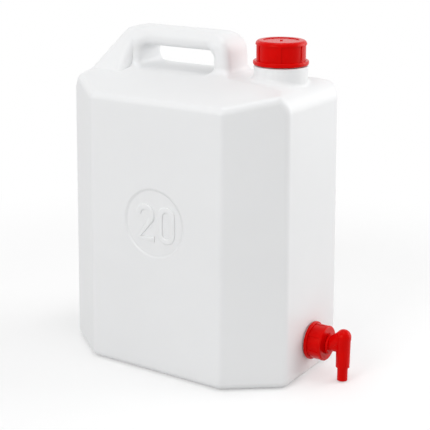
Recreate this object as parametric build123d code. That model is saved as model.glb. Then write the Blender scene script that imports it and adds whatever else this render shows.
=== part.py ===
from build123d import *
import os
from math import atan2, cos, degrees, hypot, radians, sin, tan

# Plastic jerrycan with a screw cap and a swivelling tap.
# Millimetres, +Z up, origin in the middle of the base. The handle runs along X, the filler neck stands
# at the +X end of the top and the tap sits low on the +X end face.

# Can shell
can_length = 312.0
can_width = 216.0
corner_length = 62.0
corner_width = 47.6
side_draft = 0.78
wall = 2.0
edge_radius = 10.0
shoulder_height = 338.5
shoulder_pitch = 17.0
band_rise = 22.5
band_pitch = 3.0
band_roll_radius = 26.0

# Handle
handle_rise = 48.5
handle_half_top = 19.0
handle_flare = 28.8
handle_slope = 53.8
slope_foot_drop = 1.5
slope_top_radius = 20.0
post_to_neck = 56.0
post_lean = 5.0
post_top_radius = 24.0
post_foot_radius = 9.0
grip_half_width = 26.5
grip_mouth = 9.0
grip_bar_height = 9.5
grip_corner_radius = 30.0
grip_foot_radius = 8.0
slot_setback = 77.0
slot_post = 24.0
slot_sink = 1.0
slot_roof_drop = 12.0
slot_radius = 9.0

# Base
base_panel_depth = 3.0
base_rim = 20.0
base_panel_slope = 30.0
base_panel_radius = 12.0

# Number disc, sunk in one broad face
disc_radius = 43.0
disc_height = 192.0
disc_depth = 1.3

# Filler neck
neck_setback = 48.0
neck_root = 30.0
collar_radius = 32.0
collar_rise = 15.5
collar_foot_radius = 6.0
collar_edge_radius = 1.5
neck_radius = 25.8
neck_bore_radius = 23.0
neck_length = 24.5
neck_rim_radius = 0.8

# Filler cap
cap_gap = 1.0
cap_bead_radius = 32.7
cap_bead_height = 5.0
cap_bead_round = 1.6
cap_radius = 30.0
cap_top_wall = 2.6
cap_shoulder_radius = 4.5
cap_ribs = 6
cap_rib_width = 4.0
cap_rib_height = 1.0
cap_panel_drop = 5.0
cap_first_rib = -64.0
cap_dish_radius = 21.0
cap_dish_depth = 0.9
cap_pip_radius = 1.6
thread_depth = 1.2
thread_gap = 0.4
seal_thickness = 2.0
seal_gap = 0.15
seal_side_gap = 0.3
seal_width = 6.5

# Tap outlet neck
outlet_height = 43.5
outlet_boss_radius = 20.5
outlet_boss_reach = 0.6
outlet_radius = 17.0
outlet_bore_radius = 13.5
outlet_reach = 15.4
outlet_root = 6.0

# Union nut
nut_gap = 0.6
nut_bead_radius = 23.5
nut_bead_width = 4.0
nut_bead_round = 1.2
nut_radius = 21.6
nut_front_wall = 2.4
nut_shoulder_radius = 2.0
nut_ribs = 6
nut_rib_width = 4.0
nut_rib_height = 0.8
nut_panel_drop = 3.0
nut_first_rib = 20.0

# Tap housing
flange_thickness = 2.5
barrel_radius = 12.6
barrel_reach = 1.2
barrel_back = 12.0
barrel_end_wall = 2.0
housing_bore_radius = 8.6
running_gap = 0.3
port_radius = 2.5

# Tap spout
plug_bore_radius = 5.0
plug_end_wall = 2.0
ring_section = 1.6
ring_gap = 0.05
ring_setback = 3.0
hub_radius = 12.2
hub_thickness = 3.5
hub_edge_radius = 1.0
arm_radius = 7.6
slant_radius = 8.4
spout_reach = 43.6
dome_radius = 9.3
dome_rise = 13.5
dome_skirt = 3.5
tube_radius = 8.8
tube_end_radius = 8.4
tube_end_drop = 25.0
nozzle_radius = 6.4
nozzle_bore_radius = 4.6
nozzle_floor_gap = 1.5

# Worked out from the sizes above
wall_lean = tan(radians(side_draft)) * shoulder_height / 2
band_height = shoulder_height + band_rise
handle_height = band_height + handle_rise
slope_foot_height = shoulder_height - slope_foot_drop
grip_top = handle_height - grip_bar_height
slot_top = grip_top - slot_roof_drop
slot_bottom = band_height - slot_sink
neck_x = can_length / 2 - neck_setback
post_end = neck_x - post_to_neck
slot_right = post_end - slot_post
slot_left = slot_setback - can_length / 2
grip_left = slot_left - grip_mouth
collar_top = band_height + collar_rise
neck_top = collar_top + neck_length
cap_bore_radius = neck_radius + thread_depth + thread_gap
cap_foot = collar_top + cap_gap
cap_top = neck_top + 2 * seal_gap + seal_thickness + cap_top_wall
nut_bore_radius = outlet_radius + thread_depth + thread_gap
nut_foot = outlet_boss_reach + nut_gap
tap_seal_back = outlet_reach + seal_gap
flange_back = tap_seal_back + seal_thickness + seal_gap
nut_front_inside = flange_back + flange_thickness + seal_gap
nut_front = nut_front_inside + nut_front_wall
barrel_front = nut_front + barrel_reach
barrel_rear = flange_back - barrel_back
plug_rear = barrel_rear + barrel_end_wall + running_gap
hub_rear = barrel_front + running_gap
ring_outer_radius = housing_bore_radius - ring_gap


def half_spans(height):
    """Half length and half width of the can at a height, before any inset."""
    spread = wall_lean * (1 - 2 * height / shoulder_height)
    return can_length / 2 + spread, can_width / 2 + spread


def octagon(height, inset):
    """Plan of the can: a rectangle with four big corner cuts, all sides set in by the same amount."""
    half_x, half_y = half_spans(height)
    spread = half_x - can_length / 2
    diagonal = hypot(corner_length, corner_width)
    middle = corner_width * can_length / 2 + corner_length * (can_width / 2 - corner_width)
    reach = middle + (spread - inset) * diagonal
    side_x = (reach - corner_length * (half_y - inset)) / corner_width
    end_y = (reach - corner_width * (half_x - inset)) / corner_length
    quarter = [(half_x - inset, end_y), (side_x, half_y - inset)]
    points = quarter + [(-x, y) for x, y in reversed(quarter)]
    points += [(-x, -y) for x, y in points]
    return Pos(0, 0, height) * make_face(Polyline(*points, close=True))


def round_near(face, x, y, radius):
    """Rounds the corner of a flat outline that lies nearest to a point."""
    corner = min(face.vertices(), key=lambda v: hypot(v.X - x, v.Y - y))
    return fillet([corner], radius)


def side_outline(inset):
    """The can seen from its broad side: end wall, sloped handle end, handle, post, neck band, roll-over."""
    slope = tan(radians(handle_slope))
    band_drop = tan(radians(band_pitch))
    end_x = half_spans(slope_foot_height)[0]
    slope_top_x = -end_x + (handle_height - slope_foot_height) / slope
    post_top_x = post_end - (handle_height - band_height) * tan(radians(post_lean))
    right_x = half_spans(band_height)[0]
    band_end = band_height - (right_x - post_end) * band_drop
    low_x = -end_x - slope_foot_height / slope
    points = [
        (low_x, 0),
        (slope_top_x, handle_height),
        (post_top_x, handle_height),
        (post_end, band_height),
        (right_x, band_end),
        (half_spans(0)[0], 0),
        (half_spans(0)[0], -edge_radius),
        (low_x, -edge_radius),
    ]
    face = make_face(Polyline(*points, close=True))
    face = offset(face, -inset, kind=Kind.INTERSECTION)
    face = round_near(face, slope_top_x, handle_height - inset, slope_top_radius - inset)
    face = round_near(face, post_top_x, handle_height - inset, post_top_radius - inset)
    face = round_near(face, post_end - inset, band_height - inset, post_foot_radius + inset)
    return round_near(face, right_x - inset, band_end - inset, band_roll_radius - inset)


def shoulder_z(y):
    """Height of the sloping shoulder at a distance from the middle."""
    return shoulder_height + (can_width / 2 - y) * tan(radians(shoulder_pitch))


def end_outline(inset):
    """The can seen from its end: walls, sloping shoulders and the flared handle on top."""
    pitch = tan(radians(shoulder_pitch))
    flare = tan(radians(handle_flare))
    foot_y = handle_half_top + (handle_height - shoulder_z(0)) * flare
    foot_y = foot_y / (1 - pitch * flare)
    wide = can_width / 2 + edge_radius
    half = [(wide, -edge_radius), (wide, shoulder_z(wide)), (foot_y, shoulder_z(foot_y))]
    half += [(handle_half_top, handle_height)]
    points = half + [(-y, z) for y, z in reversed(half)]
    face = make_face(Polyline(*points, close=True))
    return offset(face, -inset, kind=Kind.INTERSECTION)


def scoop_outline(inset):
    """Hollow beside the grip seen from the end: upright inner wall, floor along the shoulder."""
    inner = grip_half_width - inset
    outer = can_width
    drop = inset / cos(radians(shoulder_pitch))
    points = [
        (inner, shoulder_z(inner) - drop),
        (outer, shoulder_z(outer) - drop),
        (outer, handle_height),
        (inner, handle_height),
    ]
    face = make_face(Polyline(*points, close=True))
    return round_near(face, inner, shoulder_z(inner) - drop, grip_foot_radius + inset)


def grip_scoops(inset):
    """The two hollows beside the grip, rounded at their upper left and open at the post."""
    left = grip_left - inset
    top = grip_top + inset
    side = Pos((left + can_length) / 2, top / 2) * Rectangle(can_length - left, top)
    side = round_near(side, left, top, grip_corner_radius + inset)
    run = extrude(Plane.XZ * side, can_width, both=True)
    near = extrude(Plane.YZ * scoop_outline(inset), can_length, both=True) & run
    return [near, mirror(near, about=Plane.XZ)]


def grip_slot(inset):
    """Slot through the handle for the fingers, larger by the inset all round."""
    width = slot_right - slot_left + 2 * inset
    height = slot_top - slot_bottom + 2 * inset
    middle_x = (slot_left + slot_right) / 2
    middle_z = (slot_bottom + slot_top) / 2
    outline = Pos(middle_x, middle_z) * RectangleRounded(width, height, slot_radius + inset)
    return extrude(Plane.XZ * outline, can_width / 2, both=True)


def can_core():
    """The closed form with sharp edges, smaller than the can by the edge radius on every side."""
    inset = edge_radius
    top = handle_height
    form = loft([octagon(inset, inset), octagon(top, inset)], ruled=True)
    form &= extrude(Plane.XZ * side_outline(inset), can_width, both=True)
    form &= extrude(Plane.YZ * end_outline(inset), can_length, both=True)
    for scoop in grip_scoops(inset):
        form -= scoop
    return form - grip_slot(inset)


def turned(points, roundings=()):
    """Solid turned about Z from radius and height pairs, with some corners of the outline rounded."""
    outline = make_face(Polyline(*points, close=True))
    for radius_out, height, rounding in roundings:
        outline = round_near(outline, radius_out, height, rounding)
    return revolve(Plane.XZ * outline, Axis.Z)


def tube(outer_radius, inner_radius, low, high):
    """Ring or pipe about Z between two heights."""
    return turned([(inner_radius, low), (outer_radius, low), (outer_radius, high), (inner_radius, high)])


def base_panel(grow):
    """Shallow recess that leaves the can standing on a rim."""
    slope = radians(base_panel_slope)
    outlines = []
    for height in (-edge_radius / 4, base_panel_depth + grow):
        inset = base_rim + height / tan(slope) - grow / sin(slope)
        plan = octagon(height, inset)
        outlines.append(fillet(plan.vertices(), base_panel_radius + grow))
    return loft(outlines, ruled=True)


def number_disc(grow):
    """Round recess in the broad face, square to the leaning wall."""
    face_y = half_spans(disc_height)[1]
    plug = Cylinder(disc_radius + grow, 2 * (disc_depth + grow))
    return Pos(0, -face_y, disc_height) * Rot(90 - side_draft, 0, 0) * plug


def filler_neck():
    """Collar and threaded neck, as wide as the cap below and narrower inside it, with their bore."""
    low = band_height - neck_root
    outer = turned(
        [(0, low), (collar_radius, low), (collar_radius, collar_top), (neck_radius, collar_top),
         (neck_radius, neck_top), (0, neck_top)],
        [(collar_radius, collar_top, collar_edge_radius), (neck_radius, neck_top, neck_rim_radius)],
    )
    step = collar_top - wall
    wide = collar_radius - wall
    bore = turned(
        [(0, low), (wide, low), (wide, step), (neck_bore_radius, step),
         (neck_bore_radius, neck_top), (0, neck_top)],
    )
    place = Pos(neck_x, 0, 0)
    return place * outer, place * bore


def tap_place():
    """Frame of the tap, on its axis at the end face: Z out of the wall, Y up."""
    face_x = half_spans(outlet_height)[0]
    return Plane(origin=(face_x, 0, outlet_height), x_dir=(0, 1, 0), z_dir=(1, 0, 0)).location


def outlet_neck():
    """Low boss and threaded neck that carry the tap, with their bore."""
    outer = turned([
        (0, -outlet_root), (outlet_boss_radius, -outlet_root), (outlet_boss_radius, outlet_boss_reach),
        (outlet_radius, outlet_boss_reach), (outlet_radius, outlet_reach), (0, outlet_reach),
    ])
    middle = (outlet_reach - outlet_root) / 2
    bore = Pos(0, 0, middle) * Cylinder(outlet_bore_radius, outlet_reach + outlet_root)
    return tap_place() * outer, tap_place() * bore


def soft_edges(form):
    """Rounds the foot of the collar, where the shoulders, the band and the post run into it."""
    collar_foot = [
        edge for edge in form.edges()
        if edge.center().Z < collar_top - wall and is_round_the_neck(edge)
    ]
    return fillet(collar_foot, collar_foot_radius)


def is_round_the_neck(edge):
    """True for an edge that lies on the outside of the collar."""
    points = [edge @ share for share in (0, 0.37, 1)]
    return all(abs(hypot(p.X - neck_x, p.Y) - collar_radius) < 0.01 for p in points)


def can_body():
    """Blow-moulded can in one piece: rounded outside, the same form one wall smaller inside, open necks."""
    core = can_core()
    outer = offset(core, edge_radius, kind=Kind.ARC)
    cavity = offset(core, edge_radius - wall, kind=Kind.ARC)
    neck, neck_bore = filler_neck()
    outlet, outlet_bore = outlet_neck()
    outer = soft_edges(outer + neck) + outlet - base_panel(0) - number_disc(0)
    cavity = cavity - base_panel(wall) - number_disc(wall)
    return outer - cavity - neck_bore - outlet_bore


def grip_panels(radius, height, low, high, count, rib_width, first_rib):
    """The sunk fields between the upright grip ribs of a cap or nut."""
    panels = tube(radius + height, radius - height, low, high)
    for k in range(count):
        rib = Pos(radius, 0, (low + high) / 2) * Box(6 * height, rib_width, high - low)
        panels -= Rot(0, 0, first_rib + k * 360 / count) * rib
    return panels


def filler_cap():
    """Ribbed screw cap with a bead at its foot and a dished top with a small pip."""
    dish = cap_top - cap_dish_depth
    outer = turned(
        [(0, cap_foot), (cap_bead_radius, cap_foot), (cap_bead_radius, cap_foot + cap_bead_height),
         (cap_radius, cap_foot + cap_bead_height), (cap_radius, cap_top), (0, cap_top)],
        [(cap_bead_radius, cap_foot, cap_bead_round),
         (cap_bead_radius, cap_foot + cap_bead_height, cap_bead_round),
         (cap_radius, cap_top, cap_shoulder_radius)],
    )
    outer -= tube(cap_dish_radius, cap_pip_radius, dish, cap_top)
    outer -= grip_panels(cap_radius, cap_rib_height, cap_foot + cap_bead_height, cap_top - cap_panel_drop,
                         cap_ribs, cap_rib_width, cap_first_rib)
    inside = cap_top - cap_top_wall
    bore = Pos(0, 0, (cap_foot + inside) / 2) * Cylinder(cap_bore_radius, inside - cap_foot)
    return Pos(neck_x, 0, 0) * (outer - bore)


def cap_seal():
    """Flat sealing ring between the neck's rim and the top of the cap."""
    radius = cap_bore_radius - seal_side_gap
    low = neck_top + seal_gap
    return Pos(neck_x, 0, 0) * tube(radius, radius - seal_width, low, low + seal_thickness)


def tap_nut():
    """Ribbed union nut with a bead against the can and an opening in front for the barrel."""
    outer = turned(
        [(0, nut_foot), (nut_bead_radius, nut_foot), (nut_bead_radius, nut_foot + nut_bead_width),
         (nut_radius, nut_foot + nut_bead_width), (nut_radius, nut_front), (0, nut_front)],
        [(nut_bead_radius, nut_foot, nut_bead_round),
         (nut_bead_radius, nut_foot + nut_bead_width, nut_bead_round),
         (nut_radius, nut_front, nut_shoulder_radius)],
    )
    outer -= grip_panels(nut_radius, nut_rib_height, nut_foot + nut_bead_width, nut_front - nut_panel_drop,
                         nut_ribs, nut_rib_width, nut_first_rib)
    opening = barrel_radius + running_gap
    bore = turned([
        (0, nut_foot), (nut_bore_radius, nut_foot), (nut_bore_radius, nut_front_inside),
        (opening, nut_front_inside), (opening, nut_front), (0, nut_front),
    ])
    return tap_place() * (outer - bore)


def tap_seal():
    """Flat sealing ring between the outlet neck and the flange of the housing."""
    radius = nut_bore_radius - seal_side_gap
    return tap_place() * tube(radius, outlet_bore_radius, tap_seal_back, tap_seal_back + seal_thickness)


def tap_housing():
    """Flange and barrel, closed at the back, with a port in the underside for the water."""
    flange_radius = nut_bore_radius - running_gap
    front = flange_back + flange_thickness
    outer = turned([
        (0, barrel_rear), (barrel_radius, barrel_rear), (barrel_radius, flange_back),
        (flange_radius, flange_back), (flange_radius, front), (barrel_radius, front),
        (barrel_radius, barrel_front), (0, barrel_front),
    ])
    floor = barrel_rear + barrel_end_wall
    bore = Pos(0, 0, (floor + barrel_front) / 2) * Cylinder(housing_bore_radius, barrel_front - floor)
    return tap_place() * (outer - bore - port(barrel_radius))


def port(reach):
    """Round hole from the tap's axis down through a wall near the closed end."""
    centre = plug_rear + plug_end_wall + 2 * port_radius
    return Pos(0, -reach / 2, centre) * Rot(90, 0, 0) * Cylinder(port_radius, reach + running_gap)


def plug():
    """Hollow plug that turns in the barrel, grooved for the sealing ring."""
    radius = housing_bore_radius - running_gap
    outer = Pos(0, 0, (plug_rear + hub_rear) / 2) * Cylinder(radius, hub_rear - plug_rear)
    low = ring_centre() - ring_section / 2 - ring_gap
    high = ring_centre() + ring_section / 2 + ring_gap
    return outer - tube(radius, ring_outer_radius - ring_section - ring_gap, low, high)


def ring_centre():
    """Distance of the sealing ring's middle plane from the can's wall."""
    return barrel_front - ring_setback


def spout_top():
    """Down tube with a rounded cap above and a narrower nozzle below, about world Z."""
    centre = outlet_height + dome_rise
    skirt = centre - dome_skirt
    tube_end = outlet_height - tube_end_drop
    top = centre + dome_radius
    side = Polyline(
        (0, top), (0, nozzle_floor_gap), (nozzle_radius, nozzle_floor_gap), (nozzle_radius, tube_end),
        (tube_end_radius, tube_end), (tube_radius, skirt), (dome_radius, skirt), (dome_radius, centre),
    )
    crown = TangentArc((dome_radius, centre), (0, top), tangent=(0, 1))
    return revolve(Plane.XZ * make_face([side, crown]), Axis.Z)


def slanted_arm():
    """Arm that rises from the hub to the rounded cap, in the tap's frame."""
    start = hub_rear + hub_thickness / 2
    run = spout_reach - start
    angle = degrees(atan2(dome_rise, run))
    length = hypot(dome_rise, run)
    arm = Pos(0, 0, start) * Rot(-angle, 0, 0) * Cylinder(slant_radius, 2 * length)
    keep = Pos(0, 0, start + spout_reach / 2) * Box(4 * hub_radius, 4 * hub_radius, spout_reach)
    beyond = Pos(0, dome_rise, spout_reach) * Rot(-angle, 0, 0)
    beyond *= Pos(0, 0, spout_reach / 2) * Box(4 * hub_radius, 4 * hub_radius, spout_reach)
    return (arm & keep) - beyond


def tap_spout():
    """Plug, hub, arms, down tube and nozzle in one piece, hollow from the port to the tip."""
    hub_front = hub_rear + hub_thickness
    hub = turned(
        [(0, hub_rear), (hub_radius, hub_rear), (hub_radius, hub_front), (0, hub_front)],
        [(hub_radius, hub_rear, hub_edge_radius), (hub_radius, hub_front, hub_edge_radius)],
    )
    arm = Pos(0, 0, (hub_front + spout_reach) / 2) * Cylinder(arm_radius, spout_reach - hub_front)
    floor = plug_rear + plug_end_wall
    bore_end = spout_reach + nozzle_bore_radius / 2
    bore = Pos(0, 0, (floor + bore_end) / 2) * Cylinder(plug_bore_radius, bore_end - floor)
    side = tap_place() * (plug() + hub + arm + slanted_arm())
    down_x = half_spans(outlet_height)[0] + spout_reach
    down_bore = Pos(0, 0, outlet_height / 2) * Cylinder(nozzle_bore_radius, outlet_height)
    spout = side + Pos(down_x, 0, 0) * spout_top()
    return spout - tap_place() * (bore + port(housing_bore_radius)) - Pos(down_x, 0, 0) * down_bore


def spout_ring():
    """Round sealing ring in the groove of the plug."""
    section = ring_section / 2
    return tap_place() * Pos(0, 0, ring_centre()) * Torus(ring_outer_radius - section, section)


parts = {
    "can_body": can_body,
    "filler_cap": filler_cap,
    "cap_seal": cap_seal,
    "tap_nut": tap_nut,
    "tap_seal": tap_seal,
    "tap_housing": tap_housing,
    "tap_spout": tap_spout,
    "spout_ring": spout_ring,
}

os.makedirs("parts", exist_ok=True)
for name, make in parts.items():
    export_step(make(), f"parts/{name}.step")
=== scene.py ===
import bpy
import bmesh
from math import cos, pi, radians, sin
from mathutils import Matrix, Vector


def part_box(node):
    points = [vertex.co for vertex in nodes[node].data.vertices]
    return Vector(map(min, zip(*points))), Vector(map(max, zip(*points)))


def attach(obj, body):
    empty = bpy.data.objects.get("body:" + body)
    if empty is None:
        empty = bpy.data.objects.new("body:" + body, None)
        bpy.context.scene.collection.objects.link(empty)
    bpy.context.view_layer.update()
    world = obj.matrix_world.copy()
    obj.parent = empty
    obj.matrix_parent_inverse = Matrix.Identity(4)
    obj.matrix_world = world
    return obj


# Plastic jerrycan with a screw cap and a swivelling tap. Metres, the frame of the CAD part.

# Camera, as in the photo
camera_eye = (0.77627, -1.16934, 0.59590)
camera_aim = (0.0, 0.0, 0.19344)
camera_lens = 97.15
camera_sensor = 36.0
camera_shift_x = 0.02625
camera_shift_y = -0.03074

# Number on the sunk disc, angles in degrees
digit_height = 0.0462
digit_low = 0.1688
digit_stroke = 0.0074
digit_relief = 0.0019
digit_edge = 0.0016
digit_sink = 0.0003
arc_steps = 16
edge_steps = 4
two_head_end = -38
two_left = -0.0260
two_right = 0.0008
zero_left = 0.0054
zero_right = 0.0304
disc_radius = 0.043
rim_width = 0.0034
rim_sink = 0.0001
rim_steps = 96
rim_rises = 8
disc_height = 0.192
disc_depth = 0.0013
disc_wall_y = 0.10769
side_draft = radians(0.78)

# Threads: shares are of the ridge's width, steps are counted per turn, the fade at each end in steps
cap_axis_x = 0.108
cap_thread_pitch = 0.006
cap_thread_turns = 2.2
cap_thread_low = 0.3815
neck_radius = 0.0258
cap_bore_radius = 0.0274
tap_axis_z = 0.0435
tap_thread_pitch = 0.004
tap_thread_turns = 2.6
outlet_radius = 0.017
nut_bore_radius = 0.0186
thread_depth = 0.0012
thread_width = 0.0020
thread_sink = 0.0003
thread_root_share = 0.5
thread_crest_share = 0.22
thread_steps = 48
thread_fade = 8
tap_thread_low = 0.0025
nut_stand_off = 0.0012

# Can plastic: colours from dark to light, then cloud, fine grain and slow waves
can_dark = (0.80, 0.805, 0.81)
can_light = (0.84, 0.845, 0.85)
can_roughness = (0.36, 0.46)
can_cloud_scale = 9
can_cloud_detail = 3
can_grain_scale = 1400
can_grain_detail = 2
can_grain_height = 0.00004
can_grain_strength = 0.5
can_wave_scale = 22
can_wave_detail = 1
can_wave_height = 0.0012
can_wave_strength = 0.35
can_scatter_weight = 0.12
can_scatter_radius = (1.0, 0.95, 0.9)
can_scatter_scale = 0.004

# Red plastic
red_dark = (0.58, 0.0008, 0.0010)
red_light = (0.70, 0.0014, 0.0016)
red_roughness = (0.20, 0.30)
red_cloud_scale = 60
red_cloud_detail = 2
red_grain_scale = 900
red_grain_detail = 2
red_grain_height = 0.00003
red_grain_strength = 0.4
red_shine = 0.18
red_shine_tint = (1.0, 0.30, 0.20, 1)

# Seal rubber
rubber_dark = (0.020, 0.020, 0.021)
rubber_light = (0.034, 0.034, 0.035)
rubber_roughness = (0.6, 0.8)
rubber_scale = 300
rubber_detail = 3
rubber_height = 0.00005
rubber_strength = 0.5

# Edges sharper than this stay sharp on the scene's own pieces, in degrees
smooth_angle = 35

# Light and floor: the floor fades to white between two distances from the can
world_strength = 0.60
floor_size = 14.0
floor_tone = 0.65
floor_glow = 0.32
floor_roughness = 0.9
floor_shine = 0.1
fade_start = 0.40
fade_end = 0.80

# Lamps: name, place, aim, size and power
lamps = (
    ("front", (-0.3, -2.9, 1.4), (0, 0, 0.2), 1.4, 31),
    ("right", (2.05, 2.0, 1.0), (0, 0, 0.2), 2.2, 46),
    ("top", (0.1, -0.3, 2.6), (0, 0, 0.2), 1.2, 13),
)

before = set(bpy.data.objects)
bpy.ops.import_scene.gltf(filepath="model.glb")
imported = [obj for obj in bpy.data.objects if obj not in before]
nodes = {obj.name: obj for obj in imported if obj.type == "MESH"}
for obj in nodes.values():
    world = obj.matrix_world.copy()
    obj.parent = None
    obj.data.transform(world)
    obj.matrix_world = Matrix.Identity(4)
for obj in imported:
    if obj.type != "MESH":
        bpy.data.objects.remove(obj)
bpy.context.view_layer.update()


# Camera
def make_camera():
    """Camera at the photo's angle and distance."""
    data = bpy.data.cameras.new("camera")
    data.lens = camera_lens
    data.sensor_width = camera_sensor
    data.shift_x = camera_shift_x
    data.shift_y = camera_shift_y
    camera = bpy.data.objects.new("camera", data)
    bpy.context.scene.collection.objects.link(camera)
    camera.location = camera_eye
    look = Vector(camera_aim) - Vector(camera_eye)
    camera.rotation_mode = "QUATERNION"
    camera.rotation_quaternion = look.to_track_quat("-Z", "Y")
    bpy.context.scene.camera = camera


# Materials
def new_material(name):
    """Empty node material with a Principled shader; returns the material, its nodes and the shader."""
    material = bpy.data.materials.new(name)
    material.use_nodes = True
    tree = material.node_tree
    shader = tree.nodes["Principled BSDF"]
    return material, tree, shader


def add_noise(tree, scale, detail):
    """Noise in the row frame, so that it sticks to the piece."""
    place = tree.nodes.new("ShaderNodeTexCoord")
    noise = tree.nodes.new("ShaderNodeTexNoise")
    noise.inputs["Scale"].default_value = scale
    noise.inputs["Detail"].default_value = detail
    tree.links.new(place.outputs["Object"], noise.inputs["Vector"])
    return noise.outputs["Fac"]


def add_ramp(tree, value, low, high):
    """Maps a 0 to 1 value to colours between low and high."""
    ramp = tree.nodes.new("ShaderNodeMix")
    ramp.data_type = "RGBA"
    ramp.inputs["A"].default_value = (*low, 1)
    ramp.inputs["B"].default_value = (*high, 1)
    tree.links.new(value, ramp.inputs["Factor"])
    return ramp.outputs["Result"]


def add_range(tree, value, low, high):
    """Maps a 0 to 1 value to numbers between low and high."""
    spread = tree.nodes.new("ShaderNodeMapRange")
    spread.inputs["To Min"].default_value = low
    spread.inputs["To Max"].default_value = high
    tree.links.new(value, spread.inputs["Value"])
    return spread.outputs["Result"]


def add_bump(tree, value, distance, strength, under=None):
    """Bump from a value, on top of another bump if one is given."""
    bump = tree.nodes.new("ShaderNodeBump")
    bump.inputs["Distance"].default_value = distance
    bump.inputs["Strength"].default_value = strength
    tree.links.new(value, bump.inputs["Height"])
    if under is not None:
        tree.links.new(under, bump.inputs["Normal"])
    return bump.outputs["Normal"]


def can_plastic():
    """Natural white polyethylene: satin, faintly cloudy, with the slow waviness of a blown wall."""
    material, tree, shader = new_material("can_plastic")
    cloud = add_noise(tree, can_cloud_scale, can_cloud_detail)
    grain = add_noise(tree, can_grain_scale, can_grain_detail)
    wave = add_noise(tree, can_wave_scale, can_wave_detail)
    tree.links.new(add_ramp(tree, cloud, can_dark, can_light), shader.inputs["Base Color"])
    tree.links.new(add_range(tree, cloud, *can_roughness), shader.inputs["Roughness"])
    slow = add_bump(tree, wave, can_wave_height, can_wave_strength)
    fine = add_bump(tree, grain, can_grain_height, can_grain_strength, slow)
    tree.links.new(fine, shader.inputs["Normal"])
    shader.inputs["Subsurface Weight"].default_value = can_scatter_weight
    shader.inputs["Subsurface Radius"].default_value = can_scatter_radius
    shader.inputs["Subsurface Scale"].default_value = can_scatter_scale
    return material


def red_plastic():
    """Glossy red moulded plastic, whose shine is tinted towards red."""
    material, tree, shader = new_material("red_plastic")
    cloud = add_noise(tree, red_cloud_scale, red_cloud_detail)
    grain = add_noise(tree, red_grain_scale, red_grain_detail)
    tree.links.new(add_ramp(tree, cloud, red_dark, red_light), shader.inputs["Base Color"])
    tree.links.new(add_range(tree, cloud, *red_roughness), shader.inputs["Roughness"])
    fine = add_bump(tree, grain, red_grain_height, red_grain_strength)
    tree.links.new(fine, shader.inputs["Normal"])
    shader.inputs["Specular IOR Level"].default_value = red_shine
    shader.inputs["Specular Tint"].default_value = red_shine_tint
    return material


def seal_rubber():
    """Dark matte rubber."""
    material, tree, shader = new_material("seal_rubber")
    cloud = add_noise(tree, rubber_scale, rubber_detail)
    tree.links.new(add_ramp(tree, cloud, rubber_dark, rubber_light), shader.inputs["Base Color"])
    tree.links.new(add_range(tree, cloud, *rubber_roughness), shader.inputs["Roughness"])
    fine = add_bump(tree, cloud, rubber_height, rubber_strength)
    tree.links.new(fine, shader.inputs["Normal"])
    return material


# Pieces
def paint(piece, material):
    """Gives a piece one material."""
    if piece.data.materials:
        piece.data.materials[0] = material
    else:
        piece.data.materials.append(material)


def add_piece(name, data, material, body):
    """Links a mesh in the row frame, smooth, painted, riding a body."""
    piece = bpy.data.objects.new(name, data)
    bpy.context.scene.collection.objects.link(piece)
    paint(piece, material)
    for face in data.polygons:
        face.use_smooth = True
    data.set_sharp_from_angle(angle=radians(smooth_angle))
    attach(piece, body)


def join_rows(mesh, before, after):
    """Faces between two closed rows of corners."""
    count = len(before)
    for k in range(count):
        mesh.faces.new((before[k], before[(k + 1) % count], after[(k + 1) % count], after[k]))


def placed_mesh(mesh, name, place):
    """Mesh data of the faces made so far, with their fronts outward, moved to a place."""
    bmesh.ops.recalc_face_normals(mesh, faces=mesh.faces)
    data = bpy.data.meshes.new(name)
    mesh.to_mesh(data)
    mesh.free()
    data.transform(place)
    return data


# Number on the disc
def disc_place():
    """Frame of the disc: X along the can, Y up the leaning wall, Z out of the wall."""
    return Matrix.Translation((0, -disc_wall_y, disc_height)) @ Matrix.Rotation(pi / 2 - side_draft, 4, "X")


def arc(centre_x, centre_y, radius, first, last, steps=arc_steps):
    """Points of a circle's part, angles in degrees counted from +X towards +Y."""
    angles = [radians(first + (last - first) * k / steps) for k in range(steps + 1)]
    return [(centre_x + radius * cos(a), centre_y + radius * sin(a)) for a in angles]


def zero_line():
    """Middle line of the 0: two half circles joined by straight sides."""
    half = digit_stroke / 2
    radius = (zero_right - zero_left) / 2 - half
    middle = (zero_left + zero_right) / 2
    top = digit_height - half - radius
    return arc(middle, top, radius, 0, 180) + arc(middle, half + radius, radius, 180, 360)


def two_line():
    """Middle line of the 2: round head, slanted neck and straight foot."""
    half = digit_stroke / 2
    radius = (two_right - two_left) / 2 - half
    middle = (two_left + two_right) / 2
    top = digit_height - half - radius
    foot = [(two_left + half, half), (two_right, half)]
    return arc(middle, top, radius, 180, two_head_end) + foot


def stroke_section():
    """Section of a digit's stroke: flat foot, upright sides and rounded top corners."""
    half = digit_stroke / 2
    inner = half - digit_edge
    rise = digit_relief - digit_edge
    outline = [(-half, -digit_sink), (half, -digit_sink)]
    outline += arc(inner, rise, digit_edge, 0, 90, edge_steps)
    outline += arc(-inner, rise, digit_edge, 90, 180, edge_steps)
    data = bpy.data.curves.new("stroke", "CURVE")
    data.dimensions = "2D"
    spline = data.splines.new("POLY")
    spline.points.add(len(outline) - 1)
    for point, (x, y) in zip(spline.points, outline):
        point.co = (x, y, 0, 1)
    spline.use_cyclic_u = True
    section = bpy.data.objects.new("stroke", data)
    bpy.context.scene.collection.objects.link(section)
    return section


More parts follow.
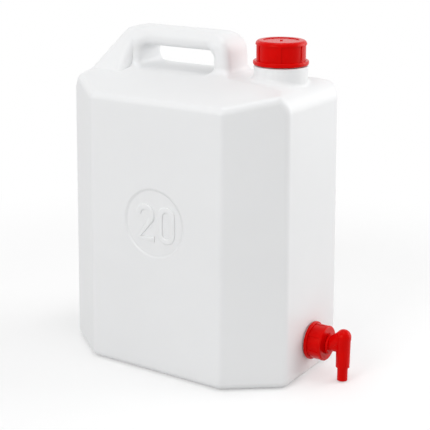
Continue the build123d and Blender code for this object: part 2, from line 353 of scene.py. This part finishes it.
def stroke_mesh(name, line, closed):
    """Stroke with its section swept along a middle line, as a mesh."""
    data = bpy.data.curves.new(name, "CURVE")
    data.dimensions = "3D"
    spline = data.splines.new("POLY")
    spline.points.add(len(line) - 1)
    for point, (x, y) in zip(spline.points, line):
        point.co = (x, digit_low - disc_height + y, 0, 1)
    spline.use_cyclic_u = closed
    section = stroke_section()
    data.bevel_mode = "OBJECT"
    data.bevel_object = section
    data.use_fill_caps = True
    data.twist_mode = "Z_UP"
    curve = bpy.data.objects.new("curve", data)
    bpy.context.scene.collection.objects.link(curve)
    bpy.context.view_layer.update()
    shown = curve.evaluated_get(bpy.context.evaluated_depsgraph_get())
    mesh = bpy.data.meshes.new_from_object(shown)
    bpy.data.objects.remove(curve)
    bpy.data.objects.remove(section)
    return mesh


def make_digit(name, line, closed, material):
    """One raised digit: a flat stroke with rounded edges, its foot just under the disc's floor."""
    mesh = stroke_mesh(name, line, closed)
    low = min(v.co.z for v in mesh.vertices)
    mesh.transform(Matrix.Translation((0, 0, -disc_depth - digit_sink - low)))
    mesh.transform(disc_place())
    add_piece(name, mesh, material, "can")


def rim_section():
    """Section of the disc's rim, as radius and height: a soft slope that closes below the floor."""
    outer = disc_radius + rim_sink
    section = [(outer, -disc_depth - rim_sink)]
    for k in range(rim_rises + 1):
        share = k / rim_rises
        drop = disc_depth * (1 - cos(pi * share)) / 2
        section.append((outer - (rim_width + rim_sink) * share, -drop))
    section.append((disc_radius - rim_width, -disc_depth - rim_sink))
    return section


def make_disc_rim(material):
    """Soft slope between the broad face and the floor of the sunk disc, all the way round."""
    section = rim_section()
    mesh = bmesh.new()
    rows = []
    for k in range(rim_steps):
        angle = 2 * pi * k / rim_steps
        rows.append([mesh.verts.new((r * cos(angle), r * sin(angle), z)) for r, z in section])
    for before, after in zip(rows, rows[1:] + rows[:1]):
        join_rows(mesh, before, after)
    data = placed_mesh(mesh, "disc_rim", disc_place())
    add_piece("disc_rim", data, material, "can")


# Threads
def thread_row(mesh, angle, root, crest, middle):
    """Four corners of a ridge at one angle, its foot on the root and its flat top on the crest."""
    profile = (
        (root, -thread_root_share),
        (crest, -thread_crest_share),
        (crest, thread_crest_share),
        (root, thread_root_share),
    )
    row = []
    for radius, share in profile:
        height = middle + share * thread_width
        row.append(mesh.verts.new((radius * cos(angle), radius * sin(angle), height)))
    return row


def thread_mesh(name, root, crest, screw, place):
    """Screw ridge about Z that runs out softly at both ends."""
    pitch, turns, start = screw
    steps = int(turns * thread_steps)
    mesh = bmesh.new()
    rows = []
    for k in range(steps + 1):
        angle = 2 * pi * turns * k / steps
        fade = min(1, k / thread_fade, (steps - k) / thread_fade)
        top = root + (crest - root) * fade
        rows.append(thread_row(mesh, angle, root, top, start + pitch * angle / (2 * pi)))
    for before, after in zip(rows, rows[1:]):
        join_rows(mesh, before, after)
    mesh.faces.new(rows[0])
    mesh.faces.new(rows[-1][::-1])
    return placed_mesh(mesh, name, place)


def outer_thread(name, radius, screw, place, material):
    """Ridge round one of the can's necks."""
    data = thread_mesh(name, radius - thread_sink, radius + thread_depth, screw, place)
    add_piece(name, data, material, "can")


def inner_thread(name, radius, screw, place, material, body):
    """Ridge in the bore of the cap or the nut, half a pitch further along than its mate."""
    pitch, turns, low = screw
    screw = (pitch, turns, low + pitch / 2)
    data = thread_mesh(name, radius + thread_sink, radius - thread_depth, screw, place)
    add_piece(name, data, material, body)


def make_threads(can_material, red_material):
    """Threads of the filler neck and the cap, and of the tap outlet and the nut."""
    neck_place = Matrix.Translation((cap_axis_x, 0, 0))
    face_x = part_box("tap_nut")[0].x - nut_stand_off
    tap_place = Matrix.Translation((face_x, 0, tap_axis_z)) @ Matrix.Rotation(pi / 2, 4, "Y")
    cap_screw = (cap_thread_pitch, cap_thread_turns, cap_thread_low)
    tap_screw = (tap_thread_pitch, tap_thread_turns, tap_thread_low)
    outer_thread("neck_thread", neck_radius, cap_screw, neck_place, can_material)
    inner_thread("cap_thread", cap_bore_radius, cap_screw, neck_place, red_material, "cap")
    outer_thread("outlet_thread", outlet_radius, tap_screw, tap_place, can_material)
    inner_thread("nut_thread", nut_bore_radius, tap_screw, tap_place, red_material, "nut")


# Floor, backdrop and light
def white_rays(tree):
    """1 for rays from the camera and in reflections and clear pieces, 0 for the light on the part."""
    path = tree.nodes.new("ShaderNodeLightPath")
    seen = path.outputs["Is Camera Ray"]
    for other in ("Is Glossy Ray", "Is Transmission Ray"):
        both = tree.nodes.new("ShaderNodeMath")
        both.operation = "MAXIMUM"
        tree.links.new(seen, both.inputs[0])
        tree.links.new(path.outputs[other], both.inputs[1])
        seen = both.outputs[0]
    return seen


def make_world():
    """White studio surround, seen as plain white."""
    world = bpy.data.worlds.new("studio")
    world.use_nodes = True
    tree = world.node_tree
    soft = tree.nodes["Background"]
    soft.inputs["Color"].default_value = (1.0, 1.0, 1.0, 1)
    soft.inputs["Strength"].default_value = world_strength
    white = tree.nodes.new("ShaderNodeBackground")
    white.inputs["Color"].default_value = (1, 1, 1, 1)
    mix = tree.nodes.new("ShaderNodeMixShader")
    tree.links.new(white_rays(tree), mix.inputs[0])
    tree.links.new(soft.outputs[0], mix.inputs[1])
    tree.links.new(white.outputs[0], mix.inputs[2])
    tree.links.new(mix.outputs[0], tree.nodes["World Output"].inputs["Surface"])
    bpy.context.scene.world = world


def far_floor(tree):
    """0 on the floor round the can, rising to 1 away from it, for what the camera sees only."""
    place = tree.nodes.new("ShaderNodeTexCoord")
    reach = tree.nodes.new("ShaderNodeVectorMath")
    reach.operation = "LENGTH"
    tree.links.new(place.outputs["Object"], reach.inputs[0])
    fade = tree.nodes.new("ShaderNodeMapRange")
    fade.interpolation_type = "SMOOTHSTEP"
    fade.inputs["From Min"].default_value = fade_start
    fade.inputs["From Max"].default_value = fade_end
    tree.links.new(reach.outputs["Value"], fade.inputs["Value"])
    share = tree.nodes.new("ShaderNodeMath")
    share.operation = "MULTIPLY"
    tree.links.new(fade.outputs["Result"], share.inputs[0])
    tree.links.new(white_rays(tree), share.inputs[1])
    return share.outputs[0]


def make_floor():
    """Pale floor that keeps the can's shadow."""
    bpy.ops.mesh.primitive_plane_add(size=floor_size, location=(0, 0, 0))
    floor = bpy.context.object
    floor.name = "floor"
    material, tree, shader = new_material("floor")
    shader.inputs["Base Color"].default_value = (floor_tone, floor_tone, floor_tone, 1)
    shader.inputs["Roughness"].default_value = floor_roughness
    shader.inputs["Specular IOR Level"].default_value = floor_shine
    glow = tree.nodes.new("ShaderNodeEmission")
    strength = tree.nodes.new("ShaderNodeMath")
    strength.operation = "MULTIPLY"
    strength.inputs[1].default_value = floor_glow
    tree.links.new(white_rays(tree), strength.inputs[0])
    tree.links.new(strength.outputs[0], glow.inputs["Strength"])
    both = tree.nodes.new("ShaderNodeAddShader")
    tree.links.new(shader.outputs[0], both.inputs[0])
    tree.links.new(glow.outputs[0], both.inputs[1])
    white = tree.nodes.new("ShaderNodeEmission")
    mix = tree.nodes.new("ShaderNodeMixShader")
    tree.links.new(far_floor(tree), mix.inputs[0])
    tree.links.new(both.outputs[0], mix.inputs[1])
    tree.links.new(white.outputs[0], mix.inputs[2])
    tree.links.new(mix.outputs[0], tree.nodes["Material Output"].inputs["Surface"])
    paint(floor, material)


def add_lamp(name, place, aim, size, power):
    """Square soft box that looks at a point."""
    data = bpy.data.lights.new(name, "AREA")
    data.size = size
    data.energy = power
    lamp = bpy.data.objects.new(name, data)
    bpy.context.scene.collection.objects.link(lamp)
    lamp.location = place
    lamp.rotation_mode = "QUATERNION"
    lamp.rotation_quaternion = (Vector(aim) - Vector(place)).to_track_quat("-Z", "Y")


bpy.context.scene.view_settings.view_transform = "Standard"
make_camera()
can_material = can_plastic()
red_material = red_plastic()
seal_material = seal_rubber()
for name in ("filler_cap", "tap_nut", "tap_housing", "tap_spout"):
    paint(nodes[name], red_material)
for name in ("cap_seal", "tap_seal", "spout_ring"):
    paint(nodes[name], seal_material)
paint(nodes["can_body"], can_material)
make_digit("number_2", two_line(), False, can_material)
make_digit("number_0", zero_line(), True, can_material)
make_disc_rim(can_material)
make_threads(can_material, red_material)
make_world()
make_floor()
for name, place, aim, size, power in lamps:
    add_lamp(name, place, aim, size, power)
